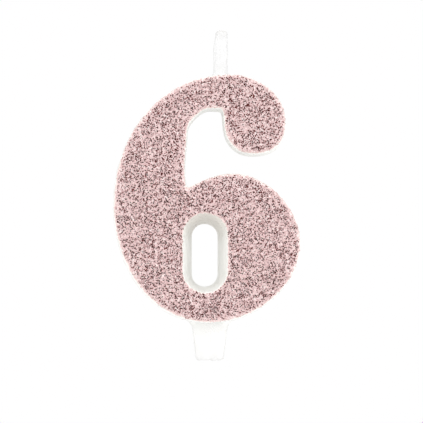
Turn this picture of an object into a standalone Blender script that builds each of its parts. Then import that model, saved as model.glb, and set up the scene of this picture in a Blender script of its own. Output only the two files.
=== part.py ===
"""A moulded wax number candle, the figure 6, standing on the wax peg that goes into the cake.

The front faces -Y and +Z is up. The origin is the middle of the peg's flat foot.
Sizes are in millimetres and become metres in mesh_object().
"""

import math

import bmesh
import bpy
from mathutils import Vector

MM = 0.001
GAP = 0.3  # clearance between pieces that touch on the real candle
SHARP_ANGLE = 35  # degrees between two faces, above which their edge is drawn sharp

# The figure, seen from the front. Each point of the outline is where it is highest, lowest or widest,
# or a corner, going clockwise: x, z, heading in, heading out, handle in, handle out. Headings are in
# degrees, 0 to the right and 90 up.
FIGURE = (
    (6.0, 82.0, 0, 0, 20.6, 7.3),  # top of the arch
    (21.7, 68.6, -90, -90, 8.0, 4.8),  # right side of the ball
    (12.4, 59.2, 180, 180, 7.7, 5.5),  # bottom of the ball
    (4.0, 68.8, 90, 90, 5.7, 2.0),  # left side of the ball
    (3.6, 72.1, 96, 180, 1.2, 1.0),  # corner under the arch
    (0.0, 72.3, 180, 180, 1.4, 2.7),  # top of the hook
    (-6.7, 65.5, -90, -90, 2.6, 4.6),  # inner edge of the stem
    (-6.7, 49.4, -75, 22, 5.2, 4.4),  # crotch between stem and bowl
    (6.6, 53.5, 0, 0, 5.6, 9.9),  # top of the bowl
    (25.9, 33.6, -90, -90, 10.0, 13.2),  # right side of the bowl
    (0.2, 10.8, 180, 180, 11.6, 18.1),  # bottom of the bowl
    (-27.6, 44.7, 90, 90, 16.6, 19.9),  # left side
)
OUTLINE_STEP = 2.6  # about this far between two points of the outline

# Depths along Y, from the glitter's face to the back.
FRONT = -6.8
GLITTER_THICKNESS = 0.4
GLUE_THICKNESS = 0.2
BACK = 6.5
DRAFT = 0.35  # the mould makes the outline this much larger at the back
FRONT_ROUNDING = 0.7
ROUNDING_BULGE = 0.3  # share of the rounding where its middle ring lies, from the front and from the side
BACK_ROUNDING = 0.5
COATING_INSET = 0.2  # the coating stops this far inside the outline

# The counter is a long hole with round ends, tapering towards the back.
COUNTER_CENTRE = (-1.36, 30.95)
COUNTER_FRONT = (6.4, 11.6)  # half width and half height at FRONT
COUNTER_BACK = (3.65, 8.9)  # the same at BACK
COUNTER_DROP = 0.32  # the mould's core leans, so the hole's back end sits lower by this
COUNTER_STEPS = 9  # points along each round end
CUT_PAST = 1.0  # how far the cutter runs on past each face

# The peg's sections, from the foot up: z, half width and half depth.
PEG_SECTIONS = (
    (0.0, 3.4, 2.9),
    (0.2, 3.85, 3.35),
    (0.8, 4.15, 3.65),
    (8.4, 5.0, 4.2),
    (10.4, 5.5, 4.3),
    (12.0, 6.6, 4.4),
    (14.5, 7.2, 4.5),
)
PEG_STEPS = 28  # points round a section
PEG_POWER = 2.8  # of the superellipse that a section is, between an ellipse (2) and a rectangle

# The wick. It stands straight up out of the arch and runs down the figure's spine into the peg.
WICK_X = 3.1
STRANDS_TOP = 92.1
SPINE = (
    (WICK_X, 84.5),
    (WICK_X, 80.5),
    (0.5, 77.1),
    (-4.5, 75.0),
    (-10.2, 70.4),
    (-14.0, 62.5),
    (-16.4, 52.0),
    (-17.4, 40.0),
    (-16.3, 29.0),
    (-12.2, 20.6),
    (-6.0, 15.6),
    (-1.4, 11.6),
    (0.0, 6.6),
    (0.0, 2.6),
)
SPINE_STEPS = 5  # points between two of these
STRAND_COUNT = 3
STRAND_RADIUS = 0.35
STRAND_OFFSET = 0.6  # from the wick's centre line to a strand's
LAY_LENGTH = 12.0  # one full turn of the strands round each other
STRAND_SPACING = 1.5  # between two points along a strand
CHANNEL_RADIUS = 1.35
CHANNEL_SIDES = 3  # bevel resolution: this plus one gives a quarter circle's sides
CHANNEL_ABOVE = 2.5  # the channel's cutter runs on this far over the arch
CHANNEL_BELOW = 0.4  # and this far past the wick's lower end

# The wax on the exposed wick, from its foot up: z and radius.
COAT_PROFILE = (
    (82.55, 2.1),
    (84.5, 2.05),
    (88.0, 2.0),
    (91.0, 1.85),
    (93.0, 1.6),
    (94.2, 1.15),
    (94.9, 0.5),
)
COAT_BORE = 1.28
COAT_BORE_TOP = 92.5
COAT_STEPS = 20


def material(name, colour, roughness, metallic=0.0):
    made = bpy.data.materials.new(name)
    made.use_nodes = True
    shader = made.node_tree.nodes["Principled BSDF"]
    shader.inputs["Base Color"].default_value = (*colour, 1.0)
    shader.inputs["Roughness"].default_value = roughness
    shader.inputs["Metallic"].default_value = metallic
    return made


def mesh_object(name, rings, mat=None):
    """One closed body through the rings, each a list of (x, y, z) with as many points, capped at both ends."""
    shape = bmesh.new()
    rows = [[shape.verts.new(Vector(p) * MM) for p in ring] for ring in rings]
    count = len(rows[0])
    for low, high in zip(rows, rows[1:]):
        for i in range(count):
            j = (i + 1) % count
            shape.faces.new((low[i], low[j], high[j], high[i]))
    shape.faces.new(rows[0])
    shape.faces.new(rows[-1])
    bmesh.ops.recalc_face_normals(shape, faces=shape.faces)
    mesh = bpy.data.meshes.new(name)
    shape.to_mesh(mesh)
    shape.free()
    made = bpy.data.objects.new(name, mesh)
    bpy.context.scene.collection.objects.link(made)
    if mat:
        mesh.materials.append(mat)
    mesh.shade_smooth()
    mesh.set_sharp_from_angle(angle=math.radians(SHARP_ANGLE))
    return made


def curve_tube(name, points, radius, resolution, mat=None):
    """A round tube with filled ends along a list of (x, y, z)."""
    curve = bpy.data.curves.new(name, "CURVE")
    curve.dimensions = "3D"
    curve.bevel_depth = radius * MM
    curve.bevel_resolution = resolution
    curve.use_fill_caps = True
    spline = curve.splines.new("POLY")
    spline.points.add(len(points) - 1)
    for slot, place in zip(spline.points, points):
        slot.co = (*(Vector(place) * MM), 1.0)
    made = bpy.data.objects.new(name, curve)
    bpy.context.scene.collection.objects.link(made)
    if mat:
        curve.materials.append(mat)
    return made


def as_cutter(thing):
    """Keeps a helper out of the model."""
    thing.hide_render = True
    thing.display_type = "WIRE"
    return thing


def boolean(target, other, operation):
    modifier = target.modifiers.new(f"{operation} {other.name}", "BOOLEAN")
    modifier.object = other
    modifier.operation = operation
    modifier.solver = "EXACT"


def direction(degrees):
    return Vector((math.cos(math.radians(degrees)), math.sin(math.radians(degrees))))


def grown_points(grow):
    """The outline's own points moved outwards by grow, each with its two headings and handles."""
    moved = []
    for x, z, arrives, leaves, _, _ in FIGURE:
        before = direction(arrives + 90)
        after = direction(leaves + 90)
        moved.append(Vector((x, z)) + (before + after) * grow / (1 + before.dot(after)))
    return moved


def outline(grow):
    """The figure's outline as (x, z) points. Any value of grow gives as many points."""
    places = grown_points(grow)
    points = []
    for i, (x, z, _, leaves, _, reach) in enumerate(FIGURE):
        j = (i + 1) % len(FIGURE)
        arrives, reach_in = FIGURE[j][2], FIGURE[j][4]
        chord = (Vector(FIGURE[j][:2]) - Vector((x, z))).length
        stretch = (places[j] - places[i]).length / chord
        controls = (
            places[i],
            places[i] + direction(leaves) * reach * stretch,
            places[j] - direction(arrives) * reach_in * stretch,
            places[j],
        )
        steps = max(2, round(chord / OUTLINE_STEP))
        for step in range(steps):
            t = step / steps
            points.append(
                controls[0] * (1 - t) ** 3
                + controls[1] * 3 * t * (1 - t) ** 2
                + controls[2] * 3 * t * t * (1 - t)
                + controls[3] * t**3
            )
    return points


def outline_ring(y, grow):
    return [(p.x, y, p.y) for p in outline(grow)]


def make_counter_cutter():
    """The counter's space, run on past both faces at its own taper."""
    rings = []
    for y in (FRONT - CUT_PAST, BACK + CUT_PAST):
        share = (y - FRONT) / (BACK - FRONT)
        half_width, half_height = (
            front + (back - front) * share for front, back in zip(COUNTER_FRONT, COUNTER_BACK)
        )
        ring = []
        for end in (1, -1):
            middle = COUNTER_CENTRE[1] - COUNTER_DROP * share + end * (half_height - half_width)
            for step in range(COUNTER_STEPS):
                turn = math.pi * step / (COUNTER_STEPS - 1)
                x = COUNTER_CENTRE[0] + end * half_width * math.cos(turn)
                ring.append((x, y, middle + end * half_width * math.sin(turn)))
        rings.append(ring)
    return as_cutter(mesh_object("counter_cutter", rings))


def wick_line():
    """The wick's centre line as (x, z) points, smooth through SPINE, from its exposed tip down."""
    spine = [Vector(p) for p in SPINE]
    knots = [spine[0] * 2 - spine[1], *spine, spine[-1] * 2 - spine[-2]]
    points = [Vector((WICK_X, STRANDS_TOP)), Vector((WICK_X, (STRANDS_TOP + SPINE[0][1]) / 2))]
    for a, b, c, d in zip(knots, knots[1:], knots[2:], knots[3:]):
        for step in range(SPINE_STEPS):
            t = step / SPINE_STEPS
            points.append(
                (b * 2 + (c - a) * t + (a * 2 - b * 5 + c * 4 - d) * t**2 + (b * 3 - a - c * 3 + d) * t**3)
                / 2
            )
    points.append(Vector(SPINE[-1]))
    return points


def strand_points(line, phase):
    """Points of one strand, which winds round the wick's line once every LAY_LENGTH."""
    travelled = [0.0]
    for a, b in zip(line, line[1:]):
        travelled.append(travelled[-1] + (b - a).length)
    count = round(travelled[-1] / STRAND_SPACING)
    points = []
    k = 0
    for step in range(count + 1):
        along = travelled[-1] * step / count
        while k < len(line) - 2 and travelled[k + 1] < along:
            k += 1
        run = line[k + 1] - line[k]
        centre = line[k] + run * (along - travelled[k]) / run.length
        side = Vector((run.y, -run.x)).normalized()
        turn = 2 * math.pi * along / LAY_LENGTH + phase
        sideways = side * STRAND_OFFSET * math.cos(turn)
        points.append((centre.x + sideways.x, STRAND_OFFSET * math.sin(turn), centre.y + sideways.y))
    return points


def make_peg():
    """The peg with its flare, run up into the bowl, which it is joined to."""
    rings = []
    for z, half_width, half_depth in PEG_SECTIONS:
        ring = []
        for step in range(PEG_STEPS):
            turn = 2 * math.pi * (step + 0.5) / PEG_STEPS
            c, s = math.cos(turn), math.sin(turn)
            x = half_width * math.copysign(abs(c) ** (2 / PEG_POWER), c)
            y = half_depth * math.copysign(abs(s) ** (2 / PEG_POWER), s)
            ring.append((x, y, z))
        rings.append(ring)
    return as_cutter(mesh_object("peg_solid", rings))


def make_wax_body(counter, wax):
    """The casting: the figure with its counter, the peg, and the wick's channel, open at the top."""
    front = FRONT + GLITTER_THICKNESS + GLUE_THICKNESS + 2 * GAP
    depth = BACK - front
    bulge = FRONT_ROUNDING * ROUNDING_BULGE
    rings = [
        outline_ring(front, -FRONT_ROUNDING),
        outline_ring(front + bulge, -bulge),
        outline_ring(front + FRONT_ROUNDING, 0.0),
        outline_ring(BACK - BACK_ROUNDING, DRAFT * (1 - BACK_ROUNDING / depth)),
        outline_ring(BACK, DRAFT - BACK_ROUNDING),
    ]
    body = mesh_object("wax_body", rings, wax)
    channel = [Vector((p.x, 0.0, p.y)) for p in wick_line()]
    channel[0].z = FIGURE[0][1] + CHANNEL_ABOVE
    channel[-1].z -= CHANNEL_BELOW
    del channel[1]  # the point halfway up the exposed wick, which would lie beyond the new end
    tube = curve_tube("channel_solid", channel, CHANNEL_RADIUS, CHANNEL_SIDES)
    cutter = bpy.data.objects.new("channel_cutter", bpy.data.meshes.new_from_object(tube))
    bpy.context.scene.collection.objects.link(cutter)
    bpy.data.objects.remove(tube)
    boolean(body, make_peg(), "UNION")
    boolean(body, counter, "DIFFERENCE")
    boolean(body, as_cutter(cutter), "DIFFERENCE")
    return body


def make_coating(name, face, thickness, counter, mat):
    """A flat layer on the figure's front, face being its outer side."""
    rings = [outline_ring(face, -COATING_INSET), outline_ring(face + thickness, -COATING_INSET)]
    layer = mesh_object(name, rings, mat)
    boolean(layer, counter, "DIFFERENCE")
    return layer


def make_wick(cotton):
    line = wick_line()
    for number in range(STRAND_COUNT):
        points = strand_points(line, number * 2 * math.pi / STRAND_COUNT)
        curve_tube(f"wick_strand_{number + 1}", points, STRAND_RADIUS, 1, cotton)


def make_wick_coat(wax):
    """A cap of wax over the exposed strands, open at its foot."""
    foot = COAT_PROFILE[0][0]
    profile = ((COAT_BORE_TOP, COAT_BORE), (foot, COAT_BORE), *COAT_PROFILE)
    rings = []
    for z, radius in profile:
        turns = [2 * math.pi * step / COAT_STEPS for step in range(COAT_STEPS)]
        rings.append([(WICK_X + radius * math.cos(t), radius * math.sin(t), z) for t in turns])
    return mesh_object("wick_wax_coat", rings, wax)


def main():
    for thing in list(bpy.data.objects):
        bpy.data.objects.remove(thing)
    wax = material("white wax", (0.92, 0.91, 0.88), 0.45)
    cotton = material("cotton", (0.88, 0.85, 0.77), 0.9)
    varnish = material("varnish", (0.93, 0.88, 0.86), 0.3)
    glitter = material("rose gold glitter", (0.72, 0.50, 0.47), 0.35, 0.6)
    counter = make_counter_cutter()
    make_wax_body(counter, wax)
    make_wick(cotton)
    make_wick_coat(wax)
    make_coating("glitter_coat", FRONT, GLITTER_THICKNESS, counter, glitter)
    glue_face = FRONT + GLITTER_THICKNESS + GAP
    make_coating("glue_film", glue_face, GLUE_THICKNESS, counter, varnish)


main()
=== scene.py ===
"""The number candle as it looks: a six in white wax, its front under rose-gold glitter, with a waxed wick."""

import math

import bmesh
import bpy
import numpy as np
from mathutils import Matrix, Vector, noise


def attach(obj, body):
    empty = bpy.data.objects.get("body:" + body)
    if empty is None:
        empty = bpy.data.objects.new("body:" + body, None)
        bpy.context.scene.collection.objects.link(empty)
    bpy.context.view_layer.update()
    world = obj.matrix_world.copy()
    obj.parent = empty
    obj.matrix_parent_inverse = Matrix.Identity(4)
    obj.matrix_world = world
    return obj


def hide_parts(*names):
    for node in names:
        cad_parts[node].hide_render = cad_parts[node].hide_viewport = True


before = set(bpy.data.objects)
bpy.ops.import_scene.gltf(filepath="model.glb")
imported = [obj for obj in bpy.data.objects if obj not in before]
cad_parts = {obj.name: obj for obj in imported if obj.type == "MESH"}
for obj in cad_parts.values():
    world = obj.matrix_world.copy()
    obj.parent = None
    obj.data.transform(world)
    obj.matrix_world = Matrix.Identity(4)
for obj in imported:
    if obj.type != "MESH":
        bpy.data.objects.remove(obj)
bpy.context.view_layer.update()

# ---------------------------------------------------------------------------------------------------
# The casting: paraffin wax poured into a mould, the figure and the peg that goes into the cake in one.
# The mould leaves rounded edges, a slight draft and walls that aren't quite flat, and the open back
# sinks a little inside its rim as the wax cools.

MM = 0.001  # the pieces' sizes are in millimetres and the studio's in metres

# The outline's points where it is highest, lowest or widest, or turns a corner, clockwise from the front:
# x, z, heading in, heading out, handle in, handle out.
FIGURE = (
    (6.0, 82.0, 0, 0, 20.6, 7.3),  # top of the arch
    (21.7, 68.6, -90, -90, 8.0, 4.8),  # right side of the ball
    (12.4, 59.2, 180, 180, 7.7, 5.5),  # bottom of the ball
    (4.0, 68.8, 90, 90, 5.7, 2.0),  # left side of the ball
    (3.6, 72.1, 96, 180, 1.2, 1.0),  # corner under the arch
    (0.0, 72.3, 180, 180, 1.4, 2.7),  # top of the hook
    (-6.7, 65.5, -90, -90, 2.6, 4.6),  # inner edge of the stem
    (-6.7, 49.4, -75, 22, 5.2, 4.4),  # crotch between stem and bowl
    (6.6, 53.5, 0, 0, 5.6, 9.9),  # top of the bowl
    (25.9, 33.6, -90, -90, 10.0, 13.2),  # right side of the bowl
    (0.2, 10.8, 180, 180, 11.6, 18.1),  # bottom of the bowl
    (-27.6, 44.7, 90, 90, 16.6, 19.9),  # left side
)
OUTLINE_STEP = 0.36
BULGE = 1.08  # a segment's length over its chord, about
CORNER_SMOOTHING = 6  # passes, which round the mould's corners to about half a millimetre
FACE = -6.5  # the wax's front face, under the coating
BACK = 6.5
DRAFT = 0.35
FRONT_ROUNDING = 0.9
BACK_ROUNDING = 0.55
FACE_MARGIN = 0.3  # a ring on the flat, this far from the bend next to it, keeps the flat's shading flat
EDGE_STEP = 15  # degrees of a rounded edge between two rings
WALL_STEPS = 10  # rings down the wall
RIM_WIDTH = 0.9  # the flat rim round the sunken back
SINK = 0.22
SINK_PROFILE = ((0.15, 0.0), (0.5, 0.35), (0.85, 0.7), (1.0, 1.1), (1.0, 1.4))  # (share of it, mm inwards)
WALL_WAVE = 0.07  # how far the walls stray from flat
WALL_WAVE_LENGTH = 9.0
WAVE_FREE = 1.5  # the waves fade out over this depth towards both faces
COUNTER_CENTRE = (-1.39, 30.7)
COUNTER_FRONT = (6.47, 11.46)  # half width and half height at the face
COUNTER_BACK = (3.65, 8.97)
COUNTER_DROP = 0.32  # the core leans a little, so the back end sits lower
COUNTER_EDGE = 0.3  # rounding of the counter's two edges
COUNTER_EDGE_RINGS = (0, 0.35, 0.7)  # share of it at which a ring lies
COUNTER_STEPS = 36  # points round each end
COUNTER_SIDE_STEP = 0.5  # between two points of its straight sides
COUNTER_DEPTHS = 12  # rings down its wall
COUNTER_DEPTH_MARGIN = 1.0  # they start this far inside both faces
PEG_SECTIONS = (  # z, half width, half depth
    (0.0, 2.9, 2.4),
    (0.0, 3.4, 2.9),
    (0.12, 3.72, 3.22),
    (0.4, 3.98, 3.48),
    (0.85, 4.12, 3.62),
    (2.0, 4.25, 3.72),
    (4.5, 4.52, 3.93),
    (7.4, 4.84, 4.18),
    (8.8, 5.04, 4.22),
    (9.8, 5.32, 4.26),
    (10.6, 5.72, 4.3),
    (11.3, 6.3, 4.35),
    (12.2, 7.2, 4.4),
    (14.0, 7.6, 4.45),
)
PEG_STEPS = 72
PEG_POWER = 2.8  # of the superellipse that a section is, between an ellipse (2) and a rectangle
SHARP_ANGLE = 40  # degrees between two faces, above which their edge is drawn sharp


def direction(degrees):
    return np.array((math.cos(math.radians(degrees)), math.sin(math.radians(degrees))))


def outline(grow):
    """The figure's outline moved outwards by grow, as an array of (x, z) with the same count for any grow."""
    places = []
    for x, z, arrives, leaves, _, _ in FIGURE:
        before, after = direction(arrives + 90), direction(leaves + 90)
        places.append(np.array((x, z)) + (before + after) * grow / (1 + before @ after))
    points = []
    for i, (x, z, _, leaves, _, reach) in enumerate(FIGURE):
        j = (i + 1) % len(FIGURE)
        arrives, reach_in = FIGURE[j][2], FIGURE[j][4]
        chord = math.dist(FIGURE[j][:2], (x, z))
        stretch = math.dist(places[j], places[i]) / chord
        start = places[i] + direction(leaves) * reach * stretch
        end = places[j] - direction(arrives) * reach_in * stretch
        count = max(4, round(BULGE * chord / OUTLINE_STEP))
        t = (np.arange(count) / count)[:, None]
        first_half = places[i] * (1 - t) ** 3 + start * 3 * t * (1 - t) ** 2
        points.append(first_half + end * 3 * t * t * (1 - t) + places[j] * t**3)
    points = np.concatenate(points)
    for _ in range(CORNER_SMOOTHING):
        points = (np.roll(points, 1, 0) + 2 * points + np.roll(points, -1, 0)) / 4
    return points


def outward(points):
    """Unit normals of a clockwise loop."""
    along = np.roll(points, -1, 0) - np.roll(points, 1, 0)
    along /= np.linalg.norm(along, axis=1)[:, None]
    return np.stack((-along[:, 1], along[:, 0]), 1)


def stadium(half_width, half_height):
    """The counter's section, a slot with round ends, as (x, z) clockwise."""
    points = []
    for end in (1, -1):
        for step in range(COUNTER_STEPS):
            turn = math.pi * step / (COUNTER_STEPS - 1)
            x = -end * half_width * math.cos(turn)
            points.append((x, end * (half_height - half_width + half_width * math.sin(turn))))
    # the straight sides get points too, or their faces would be long strips
    dense = []
    for a, b in zip(points, points[1:] + points[:1]):
        runs = max(1, round(math.dist(a, b) / COUNTER_SIDE_STEP))
        dense += [np.array(a) + (np.array(b) - a) * k / runs for k in range(runs)]
    return np.array(dense) + COUNTER_CENTRE


def add_ring(shape, points, y):
    """A ring of vertices through (x, z) points, at depth y, a number or one for each point."""
    depths = np.broadcast_to(y, len(points))
    return [shape.verts.new((p[0] * MM, d * MM, p[1] * MM)) for p, d in zip(points, depths)]


def bridge(shape, rings):
    """Quads between each ring and the next."""
    for a, b in zip(rings, rings[1:]):
        for i in range(len(a)):
            j = (i + 1) % len(a)
            shape.faces.new((a[i], a[j], b[j], b[i]))


def fill_between(shape, *rings):
    """A flat cap whose border is all of these rings."""
    edges = []
    for ring in rings:
        edges += [shape.edges.get((a, b)) for a, b in zip(ring, ring[1:] + ring[:1])]
    bmesh.ops.triangle_fill(shape, use_beauty=True, edges=edges)


def finished(name, shape, sharp_angle=SHARP_ANGLE):
    """The bmesh as an object at the origin, its faces outwards and its round parts smooth."""
    bmesh.ops.recalc_face_normals(shape, faces=shape.faces)
    mesh = bpy.data.meshes.new(name)
    shape.to_mesh(mesh)
    shape.free()
    made = bpy.data.objects.new(name, mesh)
    bpy.context.scene.collection.objects.link(made)
    mesh.shade_smooth()
    mesh.set_sharp_from_angle(angle=math.radians(sharp_angle))
    return made


def baked(made):
    """Turns the object's evaluated shape into its mesh, and drops its modifiers."""
    bpy.context.view_layer.update()
    mesh = bpy.data.meshes.new_from_object(made.evaluated_get(bpy.context.evaluated_depsgraph_get()))
    made.modifiers.clear()
    made.data = mesh
    return made


def figure_shape():
    """Rings over the front edge, down the wall and round the back's rim into its hollow, and the counter's."""
    shape = bmesh.new()
    height = shape.verts.layers.float.new("counter height")
    base = outline(0)
    sideways = outward(base)
    profile = [(FACE, -FRONT_ROUNDING - FACE_MARGIN)]
    for turn in range(0, 91, EDGE_STEP):
        turn = math.radians(turn)
        lift = FRONT_ROUNDING * (1 - math.cos(turn))
        profile.append((FACE + lift, -FRONT_ROUNDING * (1 - math.sin(turn))))
    wall_end = BACK - BACK_ROUNDING
    wall_start = FACE + FRONT_ROUNDING
    for step in range(1, WALL_STEPS + 1):
        share = step / WALL_STEPS
        profile.append((wall_start + (wall_end - wall_start) * share, DRAFT * share))
    for turn in range(EDGE_STEP, 91, EDGE_STEP):
        turn = math.radians(turn)
        inward = BACK_ROUNDING * (1 - math.cos(turn))
        profile.append((wall_end + BACK_ROUNDING * math.sin(turn), DRAFT - inward))
    rim = DRAFT - BACK_ROUNDING - RIM_WIDTH
    profile.append((BACK, rim + FACE_MARGIN))
    profile += [(BACK - SINK * share, rim - inward) for share, inward in SINK_PROFILE]
    rings = []
    for y, grow in profile:
        points = outline(grow)
        on_wall = np.clip((y - FACE) / WAVE_FREE, 0, 1) * np.clip((BACK - y) / WAVE_FREE, 0, 1)
        if on_wall:
            wave = [noise.noise(Vector((x, y, z)) / WALL_WAVE_LENGTH) for x, z in base]
            points = points + sideways * (np.array(wave) * WALL_WAVE * 2 * on_wall)[:, None]
        rings.append(add_ring(shape, points, y))
    bridge(shape, rings)
    hollow = BACK - SINK
    lip = [COUNTER_EDGE * part for part in COUNTER_EDGE_RINGS]
    middle = np.linspace(FACE + COUNTER_DEPTH_MARGIN, hollow - COUNTER_DEPTH_MARGIN, COUNTER_DEPTHS).tolist()
    counter_rings = []
    for y in [FACE + part for part in lip] + middle + [hollow - part for part in reversed(lip)]:
        share = (y - FACE) / (hollow - FACE)
        flare = sum(COUNTER_EDGE * max(0.0, 1 - gap / COUNTER_EDGE) ** 2 for gap in (y - FACE, hollow - y))
        sizes = [a + (b - a) * share + flare for a, b in zip(COUNTER_FRONT, COUNTER_BACK)]
        points = stadium(*sizes) - (0, COUNTER_DROP * share)
        counter_rings.append(add_ring(shape, points, y))
        # the wall's height, from -1 at its bottom to 1 at its top, which the wax's material uses for painted
        # shade under the counter's top
        for vert, point in zip(counter_rings[-1], points):
            vert[height] = (point[1] - COUNTER_CENTRE[1]) / COUNTER_FRONT[1]
    bridge(shape, counter_rings)
    fill_between(shape, rings[0], counter_rings[0])
    fill_between(shape, rings[-1], counter_rings[-1])
    return finished("wax_figure", shape)


def peg_shape():
    """Rings from the foot's flat up into the bowl."""
    shape = bmesh.new()
    rings = []
    for z, half_width, half_depth in PEG_SECTIONS:
        ring = []
        for step in range(PEG_STEPS):
            turn = 2 * math.pi * step / PEG_STEPS
            c, s = math.cos(turn), math.sin(turn)
            x = half_width * math.copysign(abs(c) ** (2 / PEG_POWER), c)
            y = half_depth * math.copysign(abs(s) ** (2 / PEG_POWER), s)
            ring.append(shape.verts.new((x * MM, y * MM, z * MM)))
        rings.append(ring)
    bridge(shape, rings)
    shape.faces.new(rings[0])
    shape.faces.new(rings[-1])
    return finished("peg", shape)


wax_figure = figure_shape()
peg = peg_shape()
union = wax_figure.modifiers.new("union", "BOOLEAN")
union.operation, union.solver, union.object = "UNION", "EXACT", peg
baked(wax_figure)
bpy.data.objects.remove(peg)
wax_figure.data.shade_smooth()
wax_figure.data.set_sharp_from_angle(angle=math.radians(SHARP_ANGLE))


def colour(code):
    """Linear RGBA from an sRGB hex code."""
    parts = [int(code[i : i + 2], 16) / 255 for i in (0, 2, 4)]
    return (*(p / 12.92 if p <= 0.04045 else ((p + 0.055) / 1.055) ** 2.4 for p in parts), 1.0)


def add(tree, kind, inputs=None, **settings):
    """Adds a node with its settings. inputs maps a socket to a value or to the output that feeds it."""
    made = tree.nodes.new(kind)
    for key, value in settings.items():
        setattr(made, key, value)
    for key, value in (inputs or {}).items():
        if isinstance(value, bpy.types.NodeSocket):
            tree.links.new(value, made.inputs[key])
        else:
            made.inputs[key].default_value = value
    return made


def blank_material(name):
    made = bpy.data.materials.new(name)
    made.use_nodes = True
    return made, made.node_tree, made.node_tree.nodes["Principled BSDF"]


WAX_CLOUD = 4  # width of the mottling
RIPPLE_WIDTH = 2.4
RIPPLE_DEPTH = 0.06
LIGHT_DEPTH = 0.7  # how far light spreads in the wax


def cast_wax(name, tint, mottled, roughness):
    """Fully refined paraffin wax, cast white: light goes a little way in and softens every edge. Its skin
    is satin with the faint mottling of its crystals and soft ripples, both a few millimetres wide."""
    made, tree, surface = blank_material(name)
    place = add(tree, "ShaderNodeTexCoord").outputs["Object"]
    clouds = add(tree, "ShaderNodeTexNoise", {"Vector": place, "Scale": 1 / (WAX_CLOUD * MM), "Detail": 3.0})
    blend = add(tree, "ShaderNodeMapRange", {0: clouds.outputs[0], 1: 0.35, 2: 0.65})
    mix = add(
        tree, "ShaderNodeMix", {0: blend.outputs[0], 6: colour(tint), 7: colour(mottled)}, data_type="RGBA"
    )
    tree.links.new(mix.outputs[2], surface.inputs["Base Color"])
    rough = add(tree, "ShaderNodeMapRange", {0: clouds.outputs[0], 3: roughness - 0.06, 4: roughness + 0.06})
    tree.links.new(rough.outputs[0], surface.inputs["Roughness"])
    per_metre = 1 / (RIPPLE_WIDTH * MM)
    ripple = add(tree, "ShaderNodeTexNoise", {"Vector": place, "Scale": per_metre, "Detail": 0.0})
    relief = add(
        tree, "ShaderNodeBump", {"Height": ripple.outputs[0], "Strength": 0.3, "Distance": RIPPLE_DEPTH * MM}
    )
    tree.links.new(relief.outputs[0], surface.inputs["Normal"])
    surface.inputs["IOR"].default_value = 1.44
    surface.inputs["Subsurface Weight"].default_value = 0.8
    surface.inputs["Subsurface Radius"].default_value = (1.0, 1.0, 1.0)
    surface.inputs["Subsurface Scale"].default_value = LIGHT_DEPTH * MM
    return made


def set_stops(ramp, stops):
    """Gives a new colour ramp these stops, (place, sRGB hex), going up."""
    ramp.elements[1].position = stops[-1][0]
    for place, _ in stops[1:-1]:
        ramp.elements.new(place)
    for element, (_, code) in zip(ramp.elements, stops):
        element.color = colour(code)


def tinted(made, along, marks):
    """Multiplies a wax's colour by one that changes with a value. marks are (value, colour), going up."""
    tree = made.node_tree
    surface = tree.nodes["Principled BSDF"]
    low, high = marks[0][0], marks[-1][0]
    share = add(tree, "ShaderNodeMapRange", {0: along, 1: low, 2: high})
    ramp = add(tree, "ShaderNodeValToRGB", {"Fac": share.outputs[0]})
    set_stops(ramp.color_ramp, [((value - low) / (high - low), tint) for value, tint in marks])
    plain = surface.inputs["Base Color"].links[0].from_socket
    mix = add(
        tree, "ShaderNodeMix", {0: 1.0, 6: plain, 7: ramp.outputs[0]}, data_type="RGBA", blend_type="MULTIPLY"
    )
    tree.links.new(mix.outputs[2], surface.inputs["Base Color"])


def height_in_mm(tree):
    place = add(tree, "ShaderNodeTexCoord").outputs["Object"]
    height = add(tree, "ShaderNodeSeparateXYZ", {0: place}).outputs["Z"]
    return add(tree, "ShaderNodeMath", {0: height, 1: MM}, operation="DIVIDE").outputs[0]


# painted shade: the counter's wall is darkened and yellowed towards its top, where shade falls under the top
# of the hole, and very slightly at its bottom; the wall runs from -1 at its bottom to 1 at its top
COUNTER_PAINTED_SHADE = ((-1.0, "FBFAFA"), (-0.4, "FFFFFF"), (0.3, "FFFFFF"), (1.0, "E8E2DD"))
# by height: painted shade, the wax darkened over the whole peg, most at its foot by the table and where it
# meets the underside of the figure, fading out by 12.5 mm
PEG_PAINTED_SHADE = ((0.0, "EAEAED"), (1.5, "F2F2F5"), (7.0, "F6F6F8"), (9.5, "F2F2F4"), (12.5, "FFFFFF"))
figure_wax = cast_wax("cast paraffin wax", "F0F0EC", "ECECE8", 0.42)
tinted(figure_wax, height_in_mm(figure_wax.node_tree), PEG_PAINTED_SHADE)
# the counter wall's height, for the painted shade under its top
in_counter = add(figure_wax.node_tree, "ShaderNodeAttribute", attribute_name="counter height")
tinted(figure_wax, in_counter.outputs["Fac"], COUNTER_PAINTED_SHADE)
wax_figure.data.materials.clear()
wax_figure.data.materials.append(figure_wax)
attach(wax_figure, "root")
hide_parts("wax_body")

# ---------------------------------------------------------------------------------------------------
# The wick: three plies of undyed cotton laid round each other, cast into the wax from the arch to the
# peg. The plies keep their CAD shape and get the yarn's fibres.

PLY_FIBRE = 0.12  # width of a bundle of fibres
FIBRE_DEPTH = 0.05


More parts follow.
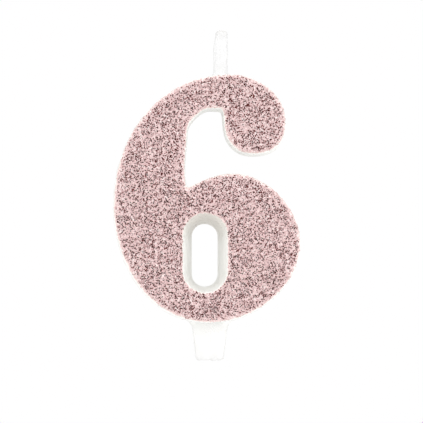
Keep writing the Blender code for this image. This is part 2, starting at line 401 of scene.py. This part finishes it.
def cotton_yarn():
    """Undyed cotton yarn, spun and unbleached: dull, cream, with fine fibres along the ply."""
    made, tree, surface = blank_material("undyed cotton yarn")
    place = add(tree, "ShaderNodeTexCoord").outputs["Object"]
    fibres = add(tree, "ShaderNodeTexNoise", {"Vector": place, "Scale": 1 / (PLY_FIBRE * MM), "Detail": 2.0})
    tone = add(tree, "ShaderNodeValToRGB", {"Fac": fibres.outputs[0]})
    tone.color_ramp.elements[0].color = colour("CFC7B2")
    tone.color_ramp.elements[1].color = colour("F1ECDD")
    tree.links.new(tone.outputs[0], surface.inputs["Base Color"])
    relief = add(tree, "ShaderNodeBump", {"Height": fibres.outputs[0], "Distance": FIBRE_DEPTH * MM})
    tree.links.new(relief.outputs[0], surface.inputs["Normal"])
    surface.inputs["Roughness"].default_value = 0.9
    return made


yarn = cotton_yarn()
for number in (1, 2, 3):
    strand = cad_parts[f"wick_strand_{number}"]
    strand.data.materials.clear()
    strand.data.materials.append(yarn)

# ---------------------------------------------------------------------------------------------------
# The exposed wick is dipped in wax until it stands by itself. The wax keeps a trace of the plies, sags
# into a collar where it meets the arch, and is cut a little aslant at the tip.

WICK_X = 3.1
WICK_RADIUS = 2.05
WICK_FOOT = 81.6  # just under the wax of the arch
WICK_TIP = 95.0
WICK_SIDES = 48
WICK_STEP = 0.22
TIP_ROUNDING = 1.15
TIP_STEP = 9  # degrees of it between two rings
WICK_SHARP_ANGLE = 60
SLANT_LENGTH = 5.4  # the left side leans in over this length below the tip
SLANT = 0.75
COLLAR = 0.3
COLLAR_HEIGHT = 82.1
COLLAR_SPREAD = 0.5
PLY_TRACE = 0.045
PLY_TURN = 12.0  # the plies' lay length
UNEVEN = 0.1  # how far the dipped wax strays from round
UNEVEN_LENGTH = 2.5


def wick_shape():
    """Rings up the wick and over its rounded tip."""
    shape = bmesh.new()
    rings = []
    heights = list(np.arange(WICK_FOOT, WICK_TIP - TIP_ROUNDING, WICK_STEP))
    heights += [WICK_TIP - TIP_ROUNDING * (1 - math.sin(math.radians(a))) for a in range(0, 90, TIP_STEP)]
    for z in heights:
        below = WICK_TIP - z
        lean = SLANT * max(0.0, 1 - below / SLANT_LENGTH) ** 1.5
        tip = max(0.0, 1 - below / TIP_ROUNDING)
        radius = WICK_RADIUS - lean / 2
        radius -= TIP_ROUNDING * (1 - math.sqrt(1 - tip * tip))
        radius += COLLAR * math.exp(-((z - COLLAR_HEIGHT) / COLLAR_SPREAD) ** 2)
        ring = []
        for step in range(WICK_SIDES):
            turn = 2 * math.pi * step / WICK_SIDES
            trace = PLY_TRACE * math.cos(3 * (turn - 2 * math.pi * z / PLY_TURN)) * (1 - tip)
            uneven = noise.noise(Vector((math.cos(turn), math.sin(turn), z / UNEVEN_LENGTH))) * UNEVEN
            r = radius + trace + uneven * (1 - tip)
            x = WICK_X + lean / 2 + r * math.cos(turn)
            ring.append(shape.verts.new((x * MM, r * math.sin(turn) * MM, z * MM)))
        rings.append(ring)
    bridge(shape, rings)
    shape.faces.new(rings[0])
    shape.faces.new(rings[-1])
    return finished("waxed_wick", shape, WICK_SHARP_ANGLE)


# by height: greyer towards the cut tip
WICK_GREYS = ((91.5, "FFFFFF"), (94.0, "F4F4F3"), (95.0, "EFEEEC"))
waxed_wick = wick_shape()
wick_wax = cast_wax("dipped paraffin wax", "E1E1E1", "DEDEDE", 0.38)
tinted(wick_wax, height_in_mm(wick_wax.node_tree), WICK_GREYS)
waxed_wick.data.materials.append(wick_wax)
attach(waxed_wick, "root")
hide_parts("wick_wax_coat")

# ---------------------------------------------------------------------------------------------------
# The varnish is brushed over the front and a little way round its edge, and stops in a wavering line.
# The finest glitter dust sinks into it, so it is as pink as the flakes on top.

VARNISH = 0.1  # thickness
OFF_WAX = 0.01  # between the varnish's inner side and the wax
EDGE_TURN = 50  # degrees round the front edge that the brush reaches
EDGE_WAVER = 14
WAVER_LENGTH = 2.2
LIP_STOP = 0.1  # how far outside the counter's wall the varnish stops, on its rounded lip
LIP_LEAST = 0.02
LIP_WAVER = 0.12
LIP_WAVER_LENGTH = 0.9
LIP_WIDTH = 0.9
LIP_SIDEWAYS = 0.6  # share of the layer's thickness that turns sideways where it stops on the lip
LIP_SHALLOWER = 0.3  # and share of it that it loses there in depth
BRUSH_SHARES = (0, 0.25, 0.5, 0.75, 1)  # rings from the flat to where the varnish stops
DUST_GRAIN = 0.34
DUST_RELIEF = 0.12
face_loop = outline(-FRONT_ROUNDING)
wall_loop = outline(0)


def waver(x, z, length):
    """Two sizes of noise, the smaller a third as long and half as strong."""
    coarse = noise.noise(Vector((x / length, 7.0, z / length)))
    return coarse + 0.5 * noise.noise(Vector((x / length * 3, 3.0, z / length * 3)))


def over_edge(lift, share):
    """A ring share of the way round the front edge to where the varnish stops, lift above the wax."""
    turns = np.array([EDGE_TURN + EDGE_WAVER * waver(x, z, WAVER_LENGTH) for x, z in wall_loop])
    turns = np.radians(turns * share)
    grow = -FRONT_ROUNDING * (1 - np.sin(turns)) + lift * np.sin(turns)
    points = face_loop + (wall_loop - face_loop) * (grow / FRONT_ROUNDING + 1)[:, None]
    return points, FACE + FRONT_ROUNDING * (1 - np.cos(turns)) - lift * np.cos(turns)


def over_lip(lift, share):
    """A ring share of the way from the flat face over the counter's lip to where the varnish stops."""
    loop = stadium(*COUNTER_FRONT)
    stop = [max(LIP_LEAST, LIP_STOP + LIP_WAVER * waver(x, z, LIP_WAVER_LENGTH)) for x, z in loop]
    away = np.array(stop) + (LIP_WIDTH - LIP_STOP) * (1 - share)
    down = COUNTER_EDGE * (1 - np.sqrt(np.minimum(1, away / COUNTER_EDGE)))
    points = loop + outward(loop) * (away - lift * LIP_SIDEWAYS * share)[:, None]
    return points, FACE + down - lift * (1 - LIP_SHALLOWER * share)


def varnish_shape():
    """A thin closed skin: its outer side over the face and edge, its inner side just off the wax."""
    shape = bmesh.new()
    thin = shape.verts.layers.float.new("thin")
    outer = [add_ring(shape, *over_edge(VARNISH, share)) for share in BRUSH_SHARES]
    inner = [add_ring(shape, *over_edge(OFF_WAX, share)) for share in reversed(BRUSH_SHARES)]
    bridge(shape, outer + inner)
    hole = [add_ring(shape, *over_lip(VARNISH, share)) for share in BRUSH_SHARES]
    hole += [add_ring(shape, *over_lip(OFF_WAX, share)) for share in reversed(BRUSH_SHARES)]
    bridge(shape, hole)
    for rings in (outer, hole):
        for ring, share in zip(rings, BRUSH_SHARES):
            for vert in ring:
                vert[thin] = share
    fill_between(shape, outer[0], hole[0])
    fill_between(shape, inner[-1], hole[-1])
    return finished("glitter_varnish", shape)


def dusted_varnish():
    """Clear acrylic varnish full of rose-gold polyester dust: each grain its own tone and tilt, with dark
    gaps between. The grain is drawn at a third of a millimetre, coarser than the real dust, to show."""
    made, tree, surface = blank_material("varnish with rose gold dust")
    place = add(tree, "ShaderNodeTexCoord").outputs["Object"]
    grains = add(tree, "ShaderNodeTexVoronoi", {"Vector": place, "Scale": 1 / (DUST_GRAIN * MM)})
    tone = add(tree, "ShaderNodeSeparateColor", {"Color": grains.outputs["Color"]})
    ramp = add(tree, "ShaderNodeValToRGB", {"Fac": tone.outputs[0]})
    set_stops(ramp.color_ramp, ((0.0, "8A615E"), (0.2, "DDBFBC"), (0.5, "F0DDDA"), (1.0, "F8EFEC")))
    # the dust thins out where the varnish ends, and the wax shows through
    thin = add(tree, "ShaderNodeAttribute", attribute_name="thin").outputs["Fac"]
    bare = add(tree, "ShaderNodeMapRange", {0: thin, 1: 0.25, 2: 1.0})
    faded = add(
        tree, "ShaderNodeMix", {0: bare.outputs[0], 6: ramp.outputs[0], 7: colour("E6DAD2")}, data_type="RGBA"
    )
    tree.links.new(faded.outputs[2], surface.inputs["Base Color"])
    relief = add(tree, "ShaderNodeBump", {"Height": tone.outputs[1], "Distance": DUST_RELIEF * MM})
    tree.links.new(relief.outputs[0], surface.inputs["Normal"])
    surface.inputs["Metallic"].default_value = 0.2
    surface.inputs["Roughness"].default_value = 0.4
    return made


varnish = varnish_shape()
varnish.data.materials.append(dusted_varnish())
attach(varnish, "root")
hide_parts("glue_film")

# ---------------------------------------------------------------------------------------------------
# The glitter: hexagonal flakes cut from metallised polyester film, shaken over the wet varnish. They lie
# at every small tilt, over and under each other, so each one catches another part of the room. They are
# drawn as wide as needs be to show one by one.

FLAKE_LAYERS = 7
FLAKES_PER_MM2 = 3.3  # in each layer
FLAKE_WIDTH = 0.3
FLAKE_THICKNESS = 0.03
EDGE_FADE = 0.7  # the flakes thin out from this far inside the rounded edge
EDGE_SHARES = (0, 0.33, 0.67, 1)  # of the way from the flat to where the varnish stops
EDGE_COVER = (1.0, 0.87, 0.66, 0.4, 0.12)  # share of the flakes that lie at EDGE_FADE and at each of those
LIP_SHARES = (0, 0.7, 1)  # the same towards the counter
LIP_COVER = (1.0, 0.85, 0.45)
FLAKE_TILT = 24  # degrees, the most
FLAKE_LIFT = 0.22
FLAKE_SIZES = (0.7, 1.25)  # least and most, times FLAKE_WIDTH
RIM_GLINT = 0.35  # added to a flake's glint where the cover falls to nothing: a painted highlight on the rounded edge
PATCH_WIDTH = 4.0  # random patches where the painted reflection runs darker or lighter
PATCH_SHIFT = 0.09
GLINT_SEED = 11
SIZE_SEED = 5


def scatter_tree():
    """Geometry nodes that strew flakes over a surface. Each flake carries its glint, a random number raised
    towards the edge, which picks its painted tone and reflection.
    """
    tree = bpy.data.node_groups.new("strewn flakes", "GeometryNodeTree")
    sockets = (
        ("Geometry", "INPUT", "NodeSocketGeometry"),
        ("Density", "INPUT", "NodeSocketFloat"),
        ("Width", "INPUT", "NodeSocketFloat"),
        ("Thickness", "INPUT", "NodeSocketFloat"),
        ("Tilt", "INPUT", "NodeSocketFloat"),
        ("Lift", "INPUT", "NodeSocketFloat"),
        ("Seed", "INPUT", "NodeSocketInt"),
        ("Material", "INPUT", "NodeSocketMaterial"),
        ("Geometry", "OUTPUT", "NodeSocketGeometry"),
    )
    for name, side, kind in sockets:
        tree.interface.new_socket(name, in_out=side, socket_type=kind)
    given = add(tree, "NodeGroupInput").outputs
    cover = add(tree, "GeometryNodeInputNamedAttribute", {"Name": "cover"}, data_type="FLOAT").outputs[0]
    thick = add(tree, "ShaderNodeMath", {0: given["Density"], 1: cover}, operation="MULTIPLY")
    strewn = add(
        tree,
        "GeometryNodeDistributePointsOnFaces",
        {"Mesh": given["Geometry"], "Density": thick.outputs[0], "Seed": given["Seed"]},
    )
    chance = add(tree, "FunctionNodeRandomValue", {"Seed": GLINT_SEED}, data_type="FLOAT").outputs[1]
    # painted highlight: flakes on the rounded edge get lighter tones, so few of them are painted brown
    bare = add(tree, "ShaderNodeMath", {0: 1.0, 1: cover}, operation="SUBTRACT")
    glint = add(
        tree, "ShaderNodeMath", {0: bare.outputs[0], 1: RIM_GLINT, 2: chance}, operation="MULTIPLY_ADD"
    )
    marked = add(
        tree,
        "GeometryNodeStoreNamedAttribute",
        {"Geometry": strewn.outputs["Points"], "Name": "glint", "Value": glint.outputs[0]},
        data_type="FLOAT",
        domain="POINT",
    )
    # the darkest lie on top
    depth = add(tree, "ShaderNodeMath", {0: 1.0, 1: glint.outputs[0]}, operation="SUBTRACT")
    height = add(tree, "ShaderNodeMath", {0: given["Lift"], 1: depth.outputs[0]}, operation="MULTIPLY")
    upwards = strewn.outputs["Normal"]
    rise = add(tree, "ShaderNodeVectorMath", {0: upwards, "Scale": height.outputs[0]}, operation="SCALE")
    raised = add(tree, "GeometryNodeSetPosition", {"Geometry": marked.outputs[0], "Offset": rise.outputs[0]})
    back = add(tree, "ShaderNodeMath", {0: given["Tilt"], 1: -1.0}, operation="MULTIPLY")
    low = add(tree, "ShaderNodeCombineXYZ", {"X": back.outputs[0], "Y": back.outputs[0], "Z": 0.0})
    high = add(tree, "ShaderNodeCombineXYZ", {"X": given["Tilt"], "Y": given["Tilt"], "Z": math.pi})
    lean = add(
        tree, "FunctionNodeRandomValue", {0: low.outputs[0], 1: high.outputs[0]}, data_type="FLOAT_VECTOR"
    )
    turned = add(tree, "FunctionNodeEulerToRotation", {0: lean.outputs[0]})
    lying = add(
        tree,
        "FunctionNodeRotateRotation",
        {0: strewn.outputs["Rotation"], 1: turned.outputs[0]},
        rotation_space="LOCAL",
    )
    radius = add(tree, "ShaderNodeMath", {0: given["Width"], 1: 0.5}, operation="MULTIPLY")
    flake = add(
        tree,
        "GeometryNodeMeshCylinder",
        {"Vertices": 6, "Radius": radius.outputs[0], "Depth": given["Thickness"]},
        fill_type="NGON",
    )
    least, most = FLAKE_SIZES
    size = add(tree, "FunctionNodeRandomValue", {2: least, 3: most, "Seed": SIZE_SEED}, data_type="FLOAT")
    placed = add(
        tree,
        "GeometryNodeInstanceOnPoints",
        {
            "Points": raised.outputs[0],
            "Instance": flake.outputs["Mesh"],
            "Rotation": lying.outputs[0],
            "Scale": size.outputs[1],
        },
    )
    real = add(tree, "GeometryNodeRealizeInstances", {0: placed.outputs[0]})
    painted = add(
        tree, "GeometryNodeSetMaterial", {"Geometry": real.outputs[0], "Material": given["Material"]}
    )
    add(tree, "NodeGroupOutput", {0: painted.outputs[0]})
    return tree


def metallised_film():
    """Metallised polyester film dyed rose gold: a mirror under clear colour. Most flakes are pale rose,
    and about a fifth are painted brown, a painted reflection of something dark."""
    made, tree, surface = blank_material("rose gold polyester flakes")
    glint = add(tree, "ShaderNodeAttribute", attribute_name="glint")
    place = add(tree, "ShaderNodeTexCoord").outputs["Object"]
    patches = add(tree, "ShaderNodeTexNoise", {"Vector": place, "Scale": 1 / (PATCH_WIDTH * MM)})
    shift = add(tree, "ShaderNodeMapRange", {0: patches.outputs[0], 3: -PATCH_SHIFT, 4: PATCH_SHIFT})
    choice = add(tree, "ShaderNodeMath", {0: glint.outputs["Fac"], 1: shift.outputs[0]}, operation="ADD")
    ramp = add(tree, "ShaderNodeValToRGB", {"Fac": choice.outputs[0]})
    ramp.color_ramp.interpolation = "CONSTANT"
    painted_dark_reflections = ((0.0, "3A0705"), (0.12, "66221F"))
    roses = ((0.21, "D5B7B6"), (0.42, "E6CAC9"), (0.75, "F2DBDA"))
    set_stops(ramp.color_ramp, painted_dark_reflections + roses)
    tree.links.new(ramp.outputs[0], surface.inputs["Base Color"])
    surface.inputs["Specular IOR Level"].default_value = 0.1
    surface.inputs["Metallic"].default_value = 0.6
    surface.inputs["Roughness"].default_value = 0.4
    return made


def wet_surface():
    """The side of the varnish that flakes stick to. Its cover attribute thins them out towards the edge."""
    shape = bmesh.new()
    cover = shape.verts.layers.float.new("cover")
    inland = face_loop - outward(face_loop) * EDGE_FADE
    outer = [add_ring(shape, inland, FACE - VARNISH)]
    outer += [add_ring(shape, *over_edge(VARNISH, share)) for share in EDGE_SHARES]
    for ring, share in zip(outer, EDGE_COVER):
        for vert in ring:
            vert[cover] = share
    hole = [add_ring(shape, *over_lip(VARNISH, share)) for share in LIP_SHARES]
    for ring, share in zip(hole, LIP_COVER):
        for vert in ring:
            vert[cover] = share
    bridge(shape, outer)
    bridge(shape, hole)
    fill_between(shape, outer[0], hole[0])
    made = finished("wet_surface", shape)
    if made.data.polygons[0].normal.y > 0:
        made.data.flip_normals()
    return made


film = metallised_film()
strew = scatter_tree()
for layer in range(FLAKE_LAYERS):
    flakes = wet_surface()
    flakes.name = f"glitter_flakes_{layer + 1}"
    modifier = flakes.modifiers.new("strewn flakes", "NODES")
    modifier.node_group = strew
    values = {
        "Density": FLAKES_PER_MM2 / MM**2,
        "Width": FLAKE_WIDTH * MM,
        "Thickness": FLAKE_THICKNESS * MM,
        "Tilt": math.radians(FLAKE_TILT),
        "Lift": FLAKE_LIFT * MM,
        "Seed": layer + 1,
        "Material": film,
    }
    for item in strew.interface.items_tree:
        if item.in_out == "INPUT" and item.name in values:
            modifier[item.identifier] = values[item.name]
    baked(flakes)
    flakes.data.shade_flat()
    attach(flakes, "root")
    if layer == 0:
        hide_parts("glitter_coat")

# ---------------------------------------------------------------------------------------------------
# The studio: a white tent round the candle, brighter in front, with soft boxes in it. Past the candle the
# camera sees pure white. It looks up from just below the table's top, which shows only from above.

VIEW_AZIMUTH = -0.9
VIEW_ELEVATION = -2.0
CAMERA_DISTANCE = 1.5
FIELD = 0.12123  # width of the picture at the face
PICTURE_CENTRE = (0.0004, 0.0426)
BOX_DISTANCE = 1.6
TENT_FRONT = 1.0  # brightness of the tent before the candle
TENT_BACK = 0.64
TENT_TURN = (-0.2, 0.6)  # it changes between these, -1 being straight in front and 1 straight behind
TABLE_RADIUS = 3.0


def table_top():
    shape = bmesh.new()
    bmesh.ops.create_circle(shape, cap_ends=True, segments=96, radius=TABLE_RADIUS)
    made = finished("table_top", shape)
    if made.data.polygons[0].normal.z < 0:
        made.data.flip_normals()
    material = bpy.data.materials.new("white laminate table")
    material.use_nodes = True
    tree = material.node_tree
    tree.nodes.clear()
    side = add(tree, "ShaderNodeNewGeometry").outputs["Backfacing"]
    white = add(tree, "ShaderNodeBsdfDiffuse", {"Color": colour("CACAC8")})
    clear = add(tree, "ShaderNodeBsdfTransparent")
    both = add(tree, "ShaderNodeMixShader", {0: side, 1: white.outputs[0], 2: clear.outputs[0]})
    add(tree, "ShaderNodeOutputMaterial", {0: both.outputs[0]})
    made.data.materials.append(material)
    # light comes up through the table as through milk glass
    made.visible_diffuse = made.visible_glossy = made.visible_shadow = False


def seen_from(azimuth, elevation):
    """The direction from the candle to something at this azimuth (0 in front, 90 right) and elevation."""
    a, e = math.radians(azimuth), math.radians(elevation)
    return Vector((math.sin(a) * math.cos(e), -math.cos(a) * math.cos(e), math.sin(e)))


def soft_box(name, azimuth, elevation, size, power):
    """A square softbox that faces the candle."""
    light = bpy.data.lights.new(name, "AREA")
    light.size = size
    light.energy = power
    made = bpy.data.objects.new(name, light)
    bpy.context.scene.collection.objects.link(made)
    away = seen_from(azimuth, elevation)
    made.location = Vector((0, 0, PICTURE_CENTRE[1])) + away * BOX_DISTANCE
    made.rotation_euler = away.to_track_quat("Z", "Y").to_euler()


def white_surround():
    """White where the camera looks past the candle. For the light it is a white tent, dimmer at the back."""
    world = bpy.data.worlds.new("studio")
    world.use_nodes = True
    bpy.context.scene.world = world
    tree = world.node_tree
    tree.nodes.clear()
    towards = add(tree, "ShaderNodeTexCoord").outputs["Generated"]
    depth = add(tree, "ShaderNodeSeparateXYZ", {0: towards}).outputs["Y"]
    start, end = TENT_TURN
    tent = add(tree, "ShaderNodeMapRange", {0: depth, 1: start, 2: end, 3: TENT_FRONT, 4: TENT_BACK})
    seen = add(tree, "ShaderNodeLightPath").outputs["Is Camera Ray"]
    strength = add(tree, "ShaderNodeMix", {0: seen, 2: tent.outputs[0], 3: 1.0}, data_type="FLOAT")
    white = add(tree, "ShaderNodeBackground", {0: colour("FFFFFF"), 1: strength.outputs[0]})
    add(tree, "ShaderNodeOutputWorld", {0: white.outputs[0]})


def place_camera():
    camera = bpy.data.cameras.new("camera")
    made = bpy.data.objects.new("camera", camera)
    bpy.context.scene.collection.objects.link(made)
    bpy.context.scene.camera = made
    back = seen_from(VIEW_AZIMUTH, VIEW_ELEVATION)
    aim = Vector((PICTURE_CENTRE[0], FACE * MM, PICTURE_CENTRE[1]))
    made.location = aim + back * CAMERA_DISTANCE
    made.rotation_euler = (-back).to_track_quat("-Z", "Y").to_euler()
    camera.lens = camera.sensor_width * CAMERA_DISTANCE / FIELD
    camera.clip_start, camera.clip_end = 0.05, 20


table_top()
soft_box("left box", -42, 16, 1.4, 4.4)
soft_box("right box", 44, 14, 1.4, 4.2)
soft_box("front box", 0, 44, 1.2, 4.0)
soft_box("overhead box", 0, 84, 1.4, 6)
soft_box("table glow", 0, -84, 1.4, 2.5)
soft_box("low left box", -85, -30, 1.4, 5.5)
soft_box("low right box", 80, -30, 1.4, 7)
soft_box("low back box", 180, -20, 1.4, 2)
white_surround()
place_camera()
bpy.context.scene.view_settings.view_transform = "Standard"
# the flakes' own colours guide the denoiser: a prefilter would smear them, and normals leave specks on wax
bpy.context.scene.cycles.denoising_prefilter = "FAST"
bpy.context.scene.cycles.denoising_input_passes = "RGB_ALBEDO"
